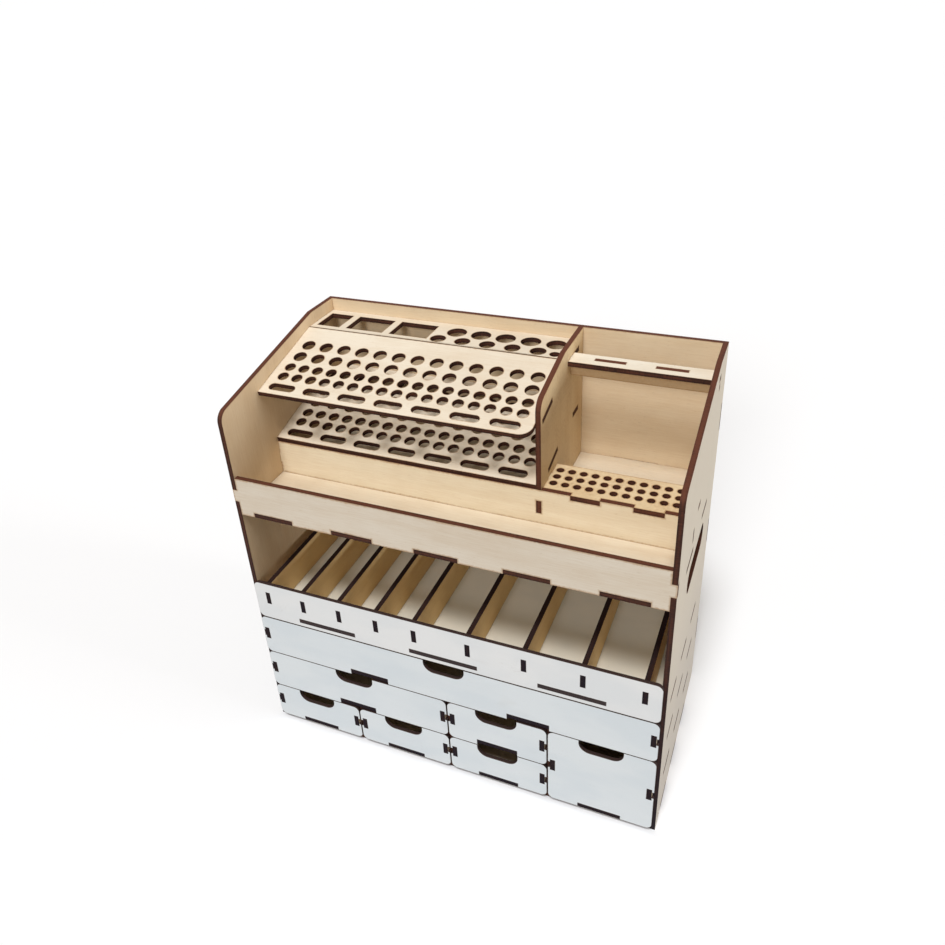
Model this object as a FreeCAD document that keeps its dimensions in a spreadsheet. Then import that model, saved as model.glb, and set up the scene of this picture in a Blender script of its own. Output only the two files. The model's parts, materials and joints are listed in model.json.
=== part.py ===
import FreeCAD, Part
import Sketcher
import math
import os
import re

# Table-top tool organiser of slotted plywood boards with white board fronts.
# Frame: +Z up, +X to the right, the drawers open towards -Y, origin under the middle.

SIZES = {
    # carcass
    "width": 350,
    "panel_depth": 174,
    "back_height": 350,
    "front_height": 320.2,
    "top_flat": 38.5,
    "top_corner_radius": 10,
    "ply": 4,
    "slot_clearance": 0.1,
    "side_tab_length": 24,
    "side_tab_start": 33,
    "side_tab_pitch": 44,
    "hand_slot_length": 74,
    "hand_slot_height": 23,
    "hand_slot_place": 91,
    "hand_slot_level": 206,
    "back_tab_height": 24,
    "back_tab_level": 62,
    "back_tab_pitch": 112,
    "rear_tab_length": 36,
    "rear_tab_pitch": 110,
    # drawers and their fronts
    "front_board": 3,
    "front_standoff": 0.3,
    "front_inset": 2.1,
    "front_gap": 0.8,
    "column_gap": 1.2,
    "front_corner_radius": 5,
    "lower_row": 40,
    "middle_row": 41,
    "upper_row": 41,
    "drawer_back_room": 12,
    "drawer_lift": 0.3,
    "drawer_clearance": 0.4,
    "drawer_headroom": 4,
    "finger_width": 35.5,
    "finger_depth": 11.6,
    "finger_radius": 9,
    "drawer_tab_height": 12,
    "drawer_tab_lift": 1.3,
    "edge_notch_radius": 3.5,
    "floor_tab_length": 35,
    "floor_tab_pitch": 70.5,
    # bottle bay
    "bottle_front_height": 37.5,
    "bottle_floor_rise": 1.8,
    "bottle_tab_length": 53,
    "bottle_middle_tab_length": 58.5,
    "bottle_tab_pitch": 105.5,
    "divider_height": 28.2,
    "divider_tab_height": 12,
    "divider_tab_rise": 8.6,
    "divider_foot_length": 24,
    "divider_margin": 15,
    "narrow_pitch": 34,
    # tool tray
    "tray_height": 228.8,
    "tray_share": 0.345,
    "tray_front_height": 34.6,
    "tray_tab_height": 11,
    "tray_tab_rise": 12.5,
    "tray_side_tab": 28,
    "tray_side_tab_place": 55,
    "riser_height": 30.6,
    "riser_tab_height": 11,
    "riser_tab_rise": 9.4,
    # tool rack
    "compartment_width": 109,
    "divider_flat": 50,
    "divider_corner_radius": 11,
    "plate_tilt": 15,
    "plate_spacing": 51.5,
    "plate_corner_radius": 10,
    "plate_tab_length": 24,
    "plate_tab_place": 30,
    "long_slot_length": 23.5,
    "long_slot_width": 7.5,
    "long_slot_left_margin": 18.2,
    "long_slot_right_margin": 21.2,
    "small_hole": 9,
    "small_hole_margin": 11.8,
    "large_hole": 11.2,
    "large_hole_margin": 13.2,
    "first_row_margin": 8.4,
    "last_row_margin": 9.5,
    # file strips behind the plates, with shares of the panels' depth and of the rack's width
    "strip_share": 0.23,
    "strip_tab_length": 15,
    "window_start_share": 0.0197,
    "narrow_window_share": 0.0939,
    "wide_window_share": 0.1507,
    "window_bar_share": 0.0297,
    "window_depth": 26,
    "window_row": 5.5,
    "round_margin_share": 0.0585,
    "back_round": 16.6,
    "back_round_row": 24,
    "front_round": 13,
    "front_round_row": 8.4,
    "front_round_shift_share": 0.0454,
    "round_pitch_share": 0.0948,
    "end_round": 8.5,
    "end_round_row": 6.5,
    "end_round_margin": 9.4,
    # bit shelf and pliers bar
    "bit_shelf_depth": 39.4,
    "bit_tab_length": 22.2,
    "bit_tab_start": 22.6,
    "bit_tab_pitch": 47.2,
    "bit_end_tab": 10,
    "bit_end_tab_place": 21,
    "bit_hole": 6,
    "bit_hole_pitch": 9.28,
    "bit_hole_margin": 5.6,
    "bit_hole_row": 12.3,
    "bar_width": 17.5,
    "bar_gap": 25.5,
    "bar_end_tab": 8,
    "rib_height": 10.5,
    "rib_setback": 7.4,
    "rib_tab_length": 24,
    "rib_tab_pitch": 47,
    "rib_end_tab": 5,
}

COLUMN_COUNT = 4
SIDE_TABS = 3
NARROW_BAYS = 4
WIDE_BAYS = 4
LONG_SLOTS = 7
SMALL_HOLES = 17
SMALL_HOLE_ROWS = (0.243, 0.461)
LARGE_HOLES = 13
LARGE_HOLE_ROWS = (0.721, 1)
ROUND_HOLES = 5
BIT_HOLES = 11
BIT_ROWS = 3

doc = FreeCAD.newDocument("tool_organiser")
sheet = doc.addObject("Spreadsheet::Sheet", "Sizes")
for row, (alias, number) in enumerate(SIZES.items(), start=1):
    sheet.set(f"A{row}", alias)
    sheet.set(f"B{row}", str(number))
    sheet.setAlias(f"B{row}", alias)
doc.recompute()


def formula(text):
    """Turn each size name in a formula into a reference to its cell."""
    return re.sub(r"[a-z_]+", lambda word: f"Sizes.{word[0]}" if word[0] in SIZES else word[0], text)


def value(text):
    """The present value of a formula of sizes."""
    return float(sheet.evalExpression(formula(text)))


def bind(target, prop, text):
    """Tie a property to a formula of sizes."""
    target.setExpression(prop, formula(text))


# Planes and levels that several boards share
FRONT = "((front_board + front_standoff - panel_depth) / 2)"
BACK = f"({FRONT} + panel_depth - ply)"
HALF = "(width / 2 - ply)"
INNER_WIDTH = "(width - 2 * ply)"
INNER_DEPTH = "(panel_depth - ply)"
DRAWER_DEPTH = f"({INNER_DEPTH} - drawer_back_room)"
ROWS = ["ply", "(ply + lower_row)", "(ply + lower_row + middle_row)",
        "(ply + lower_row + middle_row + upper_row)"]
# The fronts of two rows meet at the middle of the shelf between them
SEAMS = [ROWS[0]] + [f"({top} - ply / 2)" for top in ROWS[1:]]
COLUMNS = [f"(front_inset - width / 2 + {n} * (width - 2 * front_inset) / {COLUMN_COUNT})"
           for n in range(COLUMN_COUNT + 1)]
BOTTLE_FLOOR = f"({ROWS[3]} + bottle_floor_rise)"
TRAY_TOP = "(tray_height + ply)"
TRAY_DEPTH = "(tray_share * panel_depth)"
RISER = f"({FRONT} + {TRAY_DEPTH})"
RISER_TOP = f"({TRAY_TOP} + riser_height)"
RACK_RIGHT = "(width / 2 - ply - compartment_width)"
RACK_LEFT = f"({RACK_RIGHT} - ply)"
RACK_WIDTH = f"({RACK_LEFT} + {HALF})"
STRIP_DEPTH = "(strip_share * panel_depth)"
STRIP = f"({BACK} - {STRIP_DEPTH})"
TILT_SIN = "sin(plate_tilt)"
TILT_COS = "cos(plate_tilt)"
TOP_SLOPE = "((back_height - front_height) / (panel_depth - top_flat))"
WIDE_PITCH = f"((width - 2 * divider_margin - {NARROW_BAYS} * narrow_pitch) / {WIDE_BAYS})"


def plate_corner(level):
    """Lower front edge of a tilted plate: level 0 is the lower one, 1 the upper one."""
    y = f"({RISER} + ply * {TILT_SIN} - {level} * plate_spacing * {TILT_SIN})"
    z = f"({RISER_TOP} + {level} * plate_spacing * {TILT_COS})"
    return y, z


def plate_length(level):
    """Length up the slope to where the plate's top edge meets its strip."""
    reach = f"({STRIP} - slot_clearance - ply * {TILT_SIN} - ({plate_corner(level)[0]} - ply * {TILT_SIN}))"
    return f"({reach} / {TILT_COS})"


def strip_level(level):
    """Underside of the strip whose top is level with the plate's upper back edge."""
    return f"({plate_corner(level)[1]} + ply * {TILT_COS} + {plate_length(level)} * {TILT_SIN} - ply)"


PLIERS_BAR_LEVEL = strip_level(1)
PLIERS_BAR = f"({BACK} - bar_gap - bar_width)"
RIB = f"({PLIERS_BAR} + rib_setback)"

SHELF_TABS = [(f"(side_tab_start + {n} * side_tab_pitch)", "side_tab_length") for n in range(SIDE_TABS)]
TRAY_TABS = [("tray_side_tab_place", "tray_side_tab"), SHELF_TABS[-1]]

boards = []


class Board:
    """One board as a body: its features are placed from the board's own corner."""

    def __init__(self, node, place, tilted=False):
        self.body = doc.addObject("PartDesign::Body", node)
        self.body.Label = node
        if tilted:
            self.tilt(self.body)
        for axis, text in zip("xyz", place):
            bind(self.body, f"Placement.Base.{axis}", text)
        boards.append(self.body)

    def tilt(self, target):
        """Turn a body or a block about X by the tilt of the tool plates."""
        turn = FreeCAD.Rotation(FreeCAD.Vector(1, 0, 0), SIZES["plate_tilt"])
        target.Placement = FreeCAD.Placement(FreeCAD.Vector(), turn)
        bind(target, "Placement.Rotation.Angle", "plate_tilt * 1 deg")

    def block(self, kind, corner, size, tilted=False):
        piece = self.body.newObject(f"PartDesign::{kind}Box", f"{kind}Box")
        if tilted:
            self.tilt(piece)
        for axis, text in zip("xyz", corner):
            bind(piece, f"Placement.Base.{axis}", text)
        for prop, text in zip(("Length", "Width", "Height"), size):
            bind(piece, prop, text)
        return piece

    def add(self, corner, size):
        return self.block("Additive", corner, size)

    def cut(self, corner, size, tilted=False):
        return self.block("Subtractive", corner, size, tilted)

    def drill(self, centre, diameter, depth, along_y=False):
        """A round hole up through the board, or along Y through an upright one."""
        hole = self.body.newObject("PartDesign::SubtractiveCylinder", "Hole")
        if along_y:
            hole.Placement.Rotation = FreeCAD.Rotation(FreeCAD.Vector(1, 0, 0), -90)
        for axis, text in zip("xyz", centre):
            bind(hole, f"Placement.Base.{axis}", text)
        bind(hole, "Radius", f"{diameter} / 2")
        bind(hole, "Height", depth)
        return hole

    def repeat(self, feature, axis, pitch, count):
        """A row of copies of a feature along one of the board's axes."""
        doc.recompute()
        row = self.body.newObject("PartDesign::LinearPattern", "Row")
        row.Originals = [feature]
        row.Direction = (self.origin(f"{axis}_Axis"), [""])
        bind(row, "Length", f"({pitch}) * {count - 1}")
        row.Occurrences = count
        self.body.Tip = row
        return row

    def origin(self, role):
        return next(item for item in self.body.Origin.OriginFeatures if item.Role == role)

    def sketch(self, plane):
        drawing = self.body.newObject("Sketcher::SketchObject", "Sketch")
        drawing.AttachmentSupport = [(self.origin(plane), "")]
        drawing.MapMode = "FlatFace"
        return drawing

    def pad_outline(self, plane, corners, thickness):
        """Pad a straight-sided outline whose corners are formulas, one of them the origin."""
        drawing = self.sketch(plane)
        points = [FreeCAD.Vector(value(x), value(y), 0) for x, y in corners]
        count = len(points)
        for index in range(count):
            drawing.addGeometry(Part.LineSegment(points[index], points[(index + 1) % count]))
        for index, (x, y) in enumerate(corners):
            drawing.addConstraint(Sketcher.Constraint("Coincident", index, 1, (index - 1) % count, 2))
            self.fix(drawing, index, 1, x, y)
        pad = self.body.newObject("PartDesign::Pad", "Pad")
        pad.Profile = drawing
        bind(pad, "Length", thickness)
        doc.recompute()
        return pad

    def fix(self, drawing, geometry, point, x, y):
        """Hold a sketch point at two formulas, measured from the sketch's origin."""
        for kind, text, axis in (("DistanceX", x, -2), ("DistanceY", y, -1)):
            if text == "0":
                drawing.addConstraint(Sketcher.Constraint("PointOnObject", geometry, point, axis))
            else:
                rule = Sketcher.Constraint(kind, -1, 1, geometry, point, value(text))
                bind(drawing, f"Constraints[{drawing.addConstraint(rule)}]", text)

    def cut_long_slot(self, plane, centre, length, width):
        """Cut a round-ended slot, lying along the sketch's first axis, through the board."""
        drawing = self.sketch(plane)
        left = f"({centre[0]} - ({length} - {width}) / 2)"
        right = f"({centre[0]} + ({length} - {width}) / 2)"
        radius = value(f"{width} / 2")
        level = value(centre[1])
        ends = [FreeCAD.Vector(value(side), level, 0) for side in (left, right)]
        rise = FreeCAD.Vector(0, radius, 0)
        normal = FreeCAD.Vector(0, 0, 1)
        quarter = math.pi / 2
        drawing.addGeometry(Part.LineSegment(ends[0] + rise, ends[1] + rise))
        drawing.addGeometry(Part.ArcOfCircle(Part.Circle(ends[1], normal, radius), -quarter, quarter))
        drawing.addGeometry(Part.LineSegment(ends[1] - rise, ends[0] - rise))
        drawing.addGeometry(Part.ArcOfCircle(Part.Circle(ends[0], normal, radius), quarter, 3 * quarter))
        for first, end, second, start in ((0, 2, 1, 2), (1, 1, 2, 1), (2, 2, 3, 2), (3, 1, 0, 1)):
            drawing.addConstraint(Sketcher.Constraint("Tangent", first, end, second, start))
        self.fix(drawing, 3, 3, left, centre[1])
        self.fix(drawing, 1, 3, right, centre[1])
        rule = Sketcher.Constraint("Radius", 3, radius)
        bind(drawing, f"Constraints[{drawing.addConstraint(rule)}]", f"{width} / 2")
        doc.recompute()
        full = self.body.Tip.Shape.Volume
        pocket = self.body.newObject("PartDesign::Pocket", "Pocket")
        pocket.Profile = drawing
        pocket.Type = "ThroughAll"
        pocket.Midplane = True
        doc.recompute()
        if pocket.Shape.Volume >= full:
            raise RuntimeError(f"{self.body.Label}: the slot cuts nothing")
        return pocket

    def round_edges(self, radius, chosen):
        """Fillet the edges of the finished shape whose middle the test accepts."""
        doc.recompute()
        base = self.body.Tip
        names = []
        for index, edge in enumerate(base.Shape.Edges, start=1):
            if chosen(edge.BoundBox):
                names.append(f"Edge{index}")
        fillet = self.body.newObject("PartDesign::Fillet", "Fillet")
        fillet.Base = (base, names)
        bind(fillet, "Radius", radius)
        self.body.Tip = fillet
        doc.recompute()


NEAR = 0.001


def along(box, axis):
    """Whether an edge's box runs along one axis only."""
    lengths = {"X": box.XLength, "Y": box.YLength, "Z": box.ZLength}
    return lengths.pop(axis) > NEAR and max(lengths.values()) < NEAR


def tab_middles(count, width, pitch):
    """Middles of the tabs along an edge, evenly spaced about its middle."""
    return [f"({width} / 2 + ({index - (count - 1) / 2}) * {pitch})" for index in range(count)]


def keep_together(node, members):
    """Keep like boards as one node of separate solids."""
    group = doc.addObject("Part::Compound", node)
    group.Label = node
    group.Links = [member.body for member in members]
    for member in members:
        boards.remove(member.body)
    boards.append(group)


def end_tabs(board, ends, tabs):
    """Tabs on the ends of a level board, into the side panels."""
    for middle, length in tabs:
        for x in ends:
            board.add((x, f"{middle} - {length} / 2", "0"), ("ply", length, "ply"))


def end_slots(panel, level, tabs):
    """The slots in a side panel for those tabs."""
    for middle, length in tabs:
        upright_slot(panel, ("0", f"{middle} - {length} / 2", level), ("ply", length, "ply"))


def tilted_slot(board, level, x, y_zero):
    """The slot in an upright board for the end tab of a tilted plate."""
    y, z = plate_corner(level)
    start = "(plate_tab_place - plate_tab_length / 2 - slot_clearance)"
    corner = (x,
              f"{y} - {y_zero} + {start} * {TILT_COS} + slot_clearance * {TILT_SIN}",
              f"{z} + {start} * {TILT_SIN} - slot_clearance * {TILT_COS}")
    size = ("ply", "plate_tab_length + 2 * slot_clearance", "ply + 2 * slot_clearance")
    board.cut(corner, size, tilted=True)


def upright_slot(board, corner, size):
    """A slot for a tab, wider than the tab by the clearance on the two sides along Y and Z."""
    x, y, z = corner
    length, depth, height = size
    board.cut((x, f"{y} - slot_clearance", f"{z} - slot_clearance"),
              (length, f"{depth} + 2 * slot_clearance", f"{height} + 2 * slot_clearance"))


def strip_tab_corner(x, level):
    """Where the end tab of a file strip passes a side panel or the rack divider."""
    return (x, f"{STRIP} + {STRIP_DEPTH} / 2 - strip_tab_length / 2", strip_level(level))


def side_panel(node, x):
    """A side panel: top that slopes to the front, rounded corner, hand slot and slots for the boards.

    Both panels are cut alike for the shelves, so the right one has empty slots at the lowest shelf.
    """
    panel = Board(node, (x, FRONT, "0"))
    outline = [("0", "0"), ("panel_depth", "0"), ("panel_depth", "back_height"),
               ("panel_depth - top_flat", "back_height"), ("0", "front_height")]
    panel.pad_outline("YZ_Plane", outline, "ply")
    corner_level = value("front_height")
    panel.round_edges("top_corner_radius",
                      lambda box: along(box, "X") and box.YMax < NEAR and box.ZMin > corner_level - NEAR)
    panel.cut_long_slot("YZ_Plane", ("hand_slot_place", "hand_slot_level"),
                        "hand_slot_length", "hand_slot_height")
    for top in ROWS:
        end_slots(panel, f"{top} - ply", SHELF_TABS)
    end_slots(panel, "tray_height", TRAY_TABS)
    tray_tab = "tray_height + tray_tab_rise - slot_clearance"
    panel.cut(("0", "0", tray_tab), ("ply", "ply + slot_clearance", "tray_tab_height + 2 * slot_clearance"))
    upright_slot(panel, ("0", TRAY_DEPTH, f"{TRAY_TOP} + riser_tab_rise"),
                 ("ply", "ply", "riser_tab_height"))
    back_tab = "back_tab_level - back_tab_height / 2 - slot_clearance"
    back_slot = panel.cut(("0", "panel_depth - ply", back_tab),
                          ("ply", "ply", "back_tab_height + 2 * slot_clearance"))
    panel.repeat(back_slot, "Z", "back_tab_pitch", 3)
    return panel


def left_panel():
    """The left side, with slots for the tool plates and the file strips."""
    panel = side_panel("left_side_panel", "-width / 2")
    for level in (0, 1):
        tilted_slot(panel, level, "0", FRONT)
        x, y, z = strip_tab_corner("0", level)
        upright_slot(panel, (x, f"{y} - {FRONT}", z), ("ply", "strip_tab_length", "ply"))


def right_panel():
    """The right side, with slots for the bit shelf, the pliers bar and its rib."""
    panel = side_panel("right_side_panel", HALF)
    bit_tab = f"{TRAY_DEPTH} + bit_end_tab_place - bit_end_tab / 2"
    upright_slot(panel, ("0", bit_tab, f"{RISER_TOP} - ply"), ("ply", "bit_end_tab", "ply"))
    upright_slot(panel, ("0", f"{PLIERS_BAR} - {FRONT} + (bar_width - bar_end_tab) / 2", PLIERS_BAR_LEVEL),
                 ("ply", "bar_end_tab", "ply"))
    upright_slot(panel, ("0", f"{RIB} - {FRONT}", f"{PLIERS_BAR_LEVEL} - (rib_height + rib_end_tab) / 2"),
                 ("ply", "ply", "rib_end_tab"))


def rear_tabs(board, back, level):
    """Tabs on the rear edge of a level board, and their slots in the back panel."""
    for middle in tab_middles(3, INNER_WIDTH, "rear_tab_pitch"):
        tab = f"{middle} - rear_tab_length / 2"
        board.add((tab, INNER_DEPTH, "0"), ("rear_tab_length", "ply", "ply"))
        back.cut((f"{tab} - slot_clearance", "0", f"{level} - slot_clearance"),
                 ("rear_tab_length + 2 * slot_clearance", "ply", "ply + 2 * slot_clearance"))


def carcass():
    """Back, base, drawer shelves and the partitions between the drawers."""
    back = Board("back_panel", (f"-{HALF}", BACK, "0"))
    back.add(("0", "0", "0"), (INNER_WIDTH, "ply", "back_height"))
    for x in ("-ply", INNER_WIDTH):
        tab = back.add((x, "0", "back_tab_level - back_tab_height / 2"), ("ply", "ply", "back_tab_height"))
        back.repeat(tab, "Z", "back_tab_pitch", 3)

    for node, top in (("base_panel", ROWS[0]),
                      ("upper_drawer_shelf", ROWS[2]),
                      ("drawer_case_top", ROWS[3])):
        board = Board(node, (f"-{HALF}", FRONT, f"{top} - ply"))
        board.add(("0", "0", "0"), (INNER_WIDTH, INNER_DEPTH, "ply"))
        end_tabs(board, ("-ply", INNER_WIDTH), SHELF_TABS)
        rear_tabs(board, back, f"{top} - ply")

    left_width = f"({COLUMNS[2]} - ply / 2 + {HALF})"
    shelf = Board("left_drawer_shelf", (f"-{HALF}", FRONT, f"{ROWS[1]} - ply"))
    shelf.add(("0", "0", "0"), (left_width, INNER_DEPTH, "ply"))
    end_tabs(shelf, ("-ply",), SHELF_TABS)

    middle_width = f"({COLUMNS[3]} - {COLUMNS[2]} - ply)"
    shelf = Board("middle_drawer_shelf", (f"{COLUMNS[2]} + ply / 2", FRONT, f"{ROWS[1]} - ply"))
    shelf.add(("0", "0", "0"), (middle_width, INNER_DEPTH, "ply"))

    for node, column, top in (("left_partition", 1, "lower_row - ply"),
                              ("middle_partition", 2, "lower_row + middle_row - ply"),
                              ("right_partition", 3, "lower_row + middle_row - ply")):
        board = Board(node, (f"{COLUMNS[column]} - ply / 2", FRONT, "ply"))
        board.add(("0", "0", "0"), ("ply", INNER_DEPTH, top))
    return back


def front_board(node, place, width, height):
    """A white front with rounded corners."""
    front = Board(node, place)
    front.add(("0", "0", "0"), (width, "front_board", height))
    front.round_edges("front_corner_radius", lambda box: along(box, "Y"))
    return front


def drawer(name, columns, rows, tab_count):
    """A drawer: white front, two sides, back and floor."""
    first, last = columns
    low, high = rows
    left = f"-{HALF}" if first == 0 else f"({COLUMNS[first]} + ply / 2)"
    right = HALF if last == COLUMN_COUNT - 1 else f"({COLUMNS[last + 1]} - ply / 2)"
    ceiling = f"({ROWS[high + 1]} - ply)"
    box_left = f"({left} + drawer_clearance)"
    box_width = f"({right} - {left} - 2 * drawer_clearance)"
    box_level = f"({ROWS[low]} + drawer_lift)"
    wall_height = f"({ceiling} - {box_level} - drawer_headroom - ply)"
    face = f"({FRONT} - front_standoff)"
    front_left = f"({COLUMNS[first]} + column_gap / 2)"
    front_width = f"({COLUMNS[last + 1]} - {COLUMNS[first]} - column_gap)"
    front_level = f"({SEAMS[low]} + front_gap / 2)"
    front_height = f"({SEAMS[high + 1]} - front_gap / 2 - {front_level})"
    tab_level = f"(({front_height} - drawer_tab_height) / 2 + drawer_tab_lift)"
    tab_reach = "(front_standoff + front_board)"

    front = front_board(f"{name}_front", (front_left, f"{face} - front_board", front_level),
                        front_width, front_height)
    front.cut((f"({front_width} - finger_width) / 2", "0", f"{front_height} - finger_depth"),
              ("finger_width", "front_board", "finger_depth"))
    finger_level = value(f"{front_height} - finger_depth")
    front.round_edges("finger_radius", lambda box: along(box, "Y") and abs(box.ZMin - finger_level) < NEAR)
    for wall, edge in ((box_left, "0"), (f"({box_left} + {box_width} - ply)", front_width)):
        front.cut((f"{wall} - {front_left} - slot_clearance", "0", f"{tab_level} - slot_clearance"),
                  ("ply + 2 * slot_clearance", "front_board", "drawer_tab_height + 2 * slot_clearance"))
        front.drill((edge, "0", f"{tab_level} + drawer_tab_height / 2"), "edge_notch_radius * 2",
                    "front_board", along_y=True)
    tabs = tab_middles(tab_count, box_width, "2 * floor_tab_pitch")
    for middle in tabs:
        slot_left = f"{box_left} + {middle} - floor_tab_length / 2 - slot_clearance - {front_left}"
        front.cut((slot_left, "0", "0"),
                  ("floor_tab_length + 2 * slot_clearance", "front_board",
                   f"{box_level} + ply + slot_clearance - {front_level}"))

    floor = Board(f"{name}_floor", (box_left, FRONT, box_level))
    floor.add(("0", "0", "0"), (box_width, DRAWER_DEPTH, "ply"))
    for middle in tabs:
        floor.add((f"{middle} - floor_tab_length / 2", f"-{tab_reach}", "0"),
                  ("floor_tab_length", tab_reach, "ply"))

    wall_level = f"{box_level} + ply"
    sides = []
    for side, x in (("left", box_left), ("right", f"{box_left} + {box_width} - ply")):
        wall = Board(f"{name}_{side}_side", (x, FRONT, wall_level))
        wall.add(("0", "0", "0"), ("ply", DRAWER_DEPTH, wall_height))
        wall.add(("0", f"-{tab_reach}", f"{front_level} + {tab_level} - ({wall_level})"),
                 ("ply", tab_reach, "drawer_tab_height"))
        sides.append(wall)
    keep_together(f"{name}_sides", sides)

    back = Board(f"{name}_back", (f"{box_left} + ply", f"{FRONT} + {DRAWER_DEPTH} - ply", wall_level))
    back.add(("0", "0", "0"), (f"{box_width} - 2 * ply", "ply", wall_height))


def bottle_tray():
    """Open tray for bottles: white front, floor, two ends and seven dividers, standing on feet."""
    floor = Board("bottle_floor", (f"-{HALF}", FRONT, BOTTLE_FLOOR))
    floor.add(("0", "0", "0"), (INNER_WIDTH, INNER_DEPTH, "ply"))
    front_left = "(front_inset + column_gap / 2 - width / 2)"
    front_width = "(width - 2 * front_inset - column_gap)"
    front_level = f"({SEAMS[3]} + front_gap / 2)"
    front = front_board("bottle_front", (front_left, f"{FRONT} - front_board", front_level),
                        front_width, f"({SEAMS[3]} + bottle_front_height - {front_level})")
    lengths = ("bottle_tab_length", "bottle_middle_tab_length", "bottle_tab_length")
    for middle, length in zip(tab_middles(3, INNER_WIDTH, "bottle_tab_pitch"), lengths):
        tab = f"{middle} - {length} / 2"
        floor.add((tab, "-front_board", "0"), (length, "front_board", "ply"))
        front.cut((f"{tab} - {HALF} - {front_left} - slot_clearance", "0",
                   f"{BOTTLE_FLOOR} - {front_level} - slot_clearance"),
                  (f"{length} + 2 * slot_clearance", "front_board", "ply + 2 * slot_clearance"))
    ends = []
    for index in range(NARROW_BAYS + WIDE_BAYS + 1):
        narrow = min(index, NARROW_BAYS)
        middle = f"(divider_margin - width / 2 + {narrow} * narrow_pitch + {index - narrow} * {WIDE_PITCH})"
        board = bottle_divider(f"bottle_divider_{index}", middle, floor, front, front_left, front_level)
        if index in (0, NARROW_BAYS + WIDE_BAYS):
            ends.append(board)
    keep_together("bottle_tray_ends", ends)


def bottle_divider(node, middle, floor, front, front_left, front_level):
    """A board across the bottle tray, with a tab in the front and feet through the floor."""
    level = f"({BOTTLE_FLOOR} + ply)"
    board = Board(node, (f"{middle} - ply / 2", FRONT, level))
    board.add(("0", "0", "0"), ("ply", INNER_DEPTH, "divider_height"))
    board.add(("0", "-front_board", "divider_tab_rise"), ("ply", "front_board", "divider_tab_height"))
    front.cut((f"{middle} - ply / 2 - {front_left} - slot_clearance", "0",
               f"{level} + divider_tab_rise - {front_level} - slot_clearance"),
              ("ply + 2 * slot_clearance", "front_board", "divider_tab_height + 2 * slot_clearance"))
    foot = "(ply + bottle_floor_rise)"
    for place, _ in (SHELF_TABS[0], SHELF_TABS[-1]):
        foot_start = f"{place} - divider_foot_length / 2"
        board.add(("0", foot_start, f"-{foot}"), ("ply", "divider_foot_length", foot))
        floor.cut((f"{middle} - ply / 2 + {HALF} - slot_clearance", f"{foot_start} - slot_clearance", "0"),
                  ("ply + 2 * slot_clearance", "divider_foot_length + 2 * slot_clearance", "ply"))
    return board


def tool_tray(back):
    """Tray along the front: floor, front rail and the riser that carries the rack."""
    floor = Board("tray_floor", (f"-{HALF}", FRONT, "tray_height"))
    floor.add(("0", "ply", "0"), (INNER_WIDTH, f"{INNER_DEPTH} - ply", "ply"))
    end_tabs(floor, ("-ply", INNER_WIDTH), TRAY_TABS)
    rear_tabs(floor, back, "tray_height")
    rail = Board("tray_front", (f"-{HALF}", FRONT, "tray_height"))
    rail.add(("0", "0", "0"), (INNER_WIDTH, "ply", "tray_front_height"))
    for x in ("-ply", INNER_WIDTH):
        rail.add((x, "0", "tray_tab_rise"), ("ply", "ply", "tray_tab_height"))
    for middle in tab_middles(5, INNER_WIDTH, "floor_tab_pitch"):
        tab = f"{middle} - floor_tab_length / 2"
        floor.add((tab, "0", "0"), ("floor_tab_length", "ply", "ply"))
        rail.cut((f"{tab} - slot_clearance", "0", "0"),
                 ("floor_tab_length + 2 * slot_clearance", "ply", "ply + slot_clearance"))

    riser = Board("rack_riser", (f"-{HALF}", RISER, TRAY_TOP))
    riser.add(("0", "0", "0"), (INNER_WIDTH, "ply", "riser_height"))
    for x in ("-ply", INNER_WIDTH):
        riser.add((x, "0", "riser_tab_rise"), ("ply", "ply", "riser_tab_height"))
    riser.cut((f"{RACK_LEFT} + {HALF} - slot_clearance", "0", "riser_tab_rise - slot_clearance"),
              ("ply + 2 * slot_clearance", "ply", "riser_tab_height + 2 * slot_clearance"))
    notch = riser.cut((f"{RACK_RIGHT} + {HALF} + bit_tab_start - slot_clearance", "0",
                       "riser_height - ply - slot_clearance"),
                      ("bit_tab_length + 2 * slot_clearance", "ply", "ply + slot_clearance"))
    riser.repeat(notch, "X", "bit_tab_pitch", 2)


def rack_divider():
    """Upright board between the tool rack and the pliers compartment, whose top slopes as the sides do."""
    board = Board("rack_divider", (RACK_LEFT, RISER, "0"))
    depth = f"({BACK} - {RISER})"
    heel = "(ply + slot_clearance)"
    step = f"({RISER_TOP} + slot_clearance)"
    top = f"(back_height - {TOP_SLOPE} * ({depth} - divider_flat))"
    outline = [(heel, TRAY_TOP), (depth, TRAY_TOP), (depth, "back_height"),
               (f"{depth} - divider_flat", "back_height"), ("0", top), ("0", step), (heel, step)]
    board.pad_outline("YZ_Plane", outline, "ply")
    corner_level = value(top)
    board.round_edges("divider_corner_radius",
                      lambda box: along(box, "X") and box.YMax < NEAR and box.ZMin > corner_level - NEAR)
    tab_level = f"{TRAY_TOP} + riser_tab_rise"
    board.add(("0", "0", tab_level), ("ply", heel, "riser_tab_height"))
    for level in (0, 1):
        tilted_slot(board, level, "0", RISER)
        x, y, z = strip_tab_corner("0", level)
        upright_slot(board, (x, f"{y} - {RISER}", z), ("ply", "strip_tab_length", "ply"))
    upright_slot(board, ("0", "bit_end_tab_place - bit_end_tab / 2", f"{RISER_TOP} - ply"),
                 ("ply", "bit_end_tab", "ply"))
    upright_slot(board, ("0", f"{PLIERS_BAR} - {RISER} + (bar_width - bar_end_tab) / 2", PLIERS_BAR_LEVEL),
                 ("ply", "bar_end_tab", "ply"))
    upright_slot(board, ("0", f"{RIB} - {RISER}", f"{PLIERS_BAR_LEVEL} - (rib_height + rib_end_tab) / 2"),
                 ("ply", "ply", "rib_end_tab"))


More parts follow.
